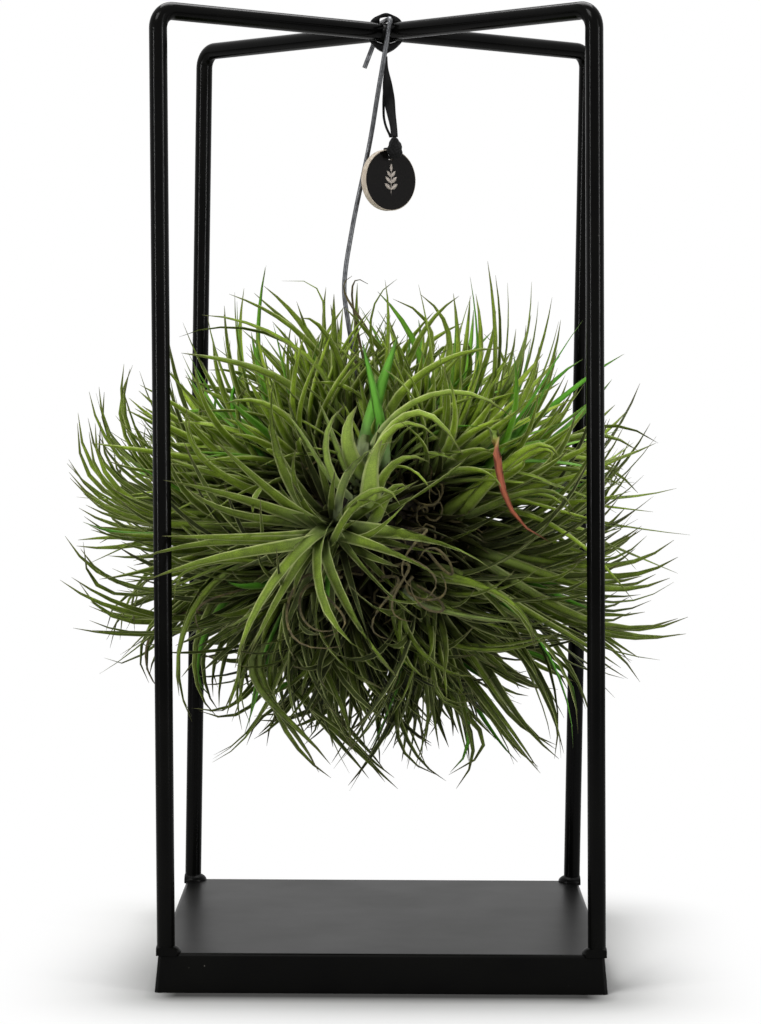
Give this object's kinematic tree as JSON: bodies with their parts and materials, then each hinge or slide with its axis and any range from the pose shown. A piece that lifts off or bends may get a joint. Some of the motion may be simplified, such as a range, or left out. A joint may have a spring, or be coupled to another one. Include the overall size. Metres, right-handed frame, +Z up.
{
  "type": "air plant holder",
  "caption": "Black steel stand, a square tray and bent rods that meet over it, with a wire hook holding a hanging air plant clump and a round tag on a ribbon.",
  "frame": {"origin": "on the floor, under the middle of the tray", "axes": "+Z up along the posts, +Y to the rear, +X to the right as seen from the front"},
  "size_m": [0.3044, 0.2518, 0.4397],
  "materials": {
    "black_coat": "satin black powder coat",
    "ribbon": "black satin ribbon",
    "wire": "dull galvanised wire",
    "pale_wood": "bare pale wood",
    "tag_black": "matt black paint",
    "dry_stem": "dry matted stems and roots",
    "leaf": "living leaf, waxy with a grey bloom"
  },
  "bodies": {
    "stand": {"base_tray": "black_coat", "front_left_rod": "black_coat", "front_right_rod": "black_coat", "rear_left_rod": "black_coat", "rear_right_rod": "black_coat", "crossing_weld": "black_coat", "foot_welds": "black_coat", "ribbon_loop": "ribbon"},
    "hanger": {"hanger_wire": "wire"},
    "plant": {"plant_core": "dry_stem", "rosette_front": "leaf", "rosette_front_upright": "leaf", "rosette_upper_left": "leaf", "rosette_top_left": "leaf", "rosette_top_right": "leaf", "rosette_upper_right": "leaf", "rosette_right": "leaf", "rosette_right_fan": "leaf", "rosette_lower_right": "leaf", "rosette_bottom_left": "leaf", "rosette_bottom_right": "leaf", "rosette_lower_left": "leaf", "rosette_left_fan": "leaf", "rosette_left": "leaf", "rosette_rear": "leaf", "rosette_rear_left": "leaf", "rosette_rear_right": "leaf", "rosette_rear_upper": "leaf", "rosette_rear_lower": "leaf"},
    "ribbon": {"ribbon_front_strand": "ribbon", "ribbon_back_strand": "ribbon"},
    "tag": {"ribbon_knot": "ribbon", "ribbon_eye": "ribbon", "tag_disc": "pale_wood", "tag_face": "tag_black"}
  },
  "joints": [
    {"name": "hanger_swing", "type": "hinge", "parent": "stand", "child": "hanger", "pos_m": [0, 0, 0.43635], "axis": [0, 1, 0], "range_deg": [-2.5, 5]},
    {"name": "plant_turn", "type": "hinge", "parent": "hanger", "child": "plant", "pos_m": [-0.0082, 0, 0.23535], "axis": [0, 0, 1], "range_deg": [-4, 4]},
    {"name": "tag_swing", "type": "hinge", "parent": "stand", "child": "ribbon", "pos_m": [0, 0, 0.4202], "axis": [0, -1, 0], "range_deg": [0, 45]},
    {"name": "tag_twist", "type": "hinge", "parent": "ribbon", "child": "tag", "pos_m": [0.00451, -0.00383, 0.37665], "axis": [0, 0, 1], "range_deg": [-30, 40]}
  ]
}
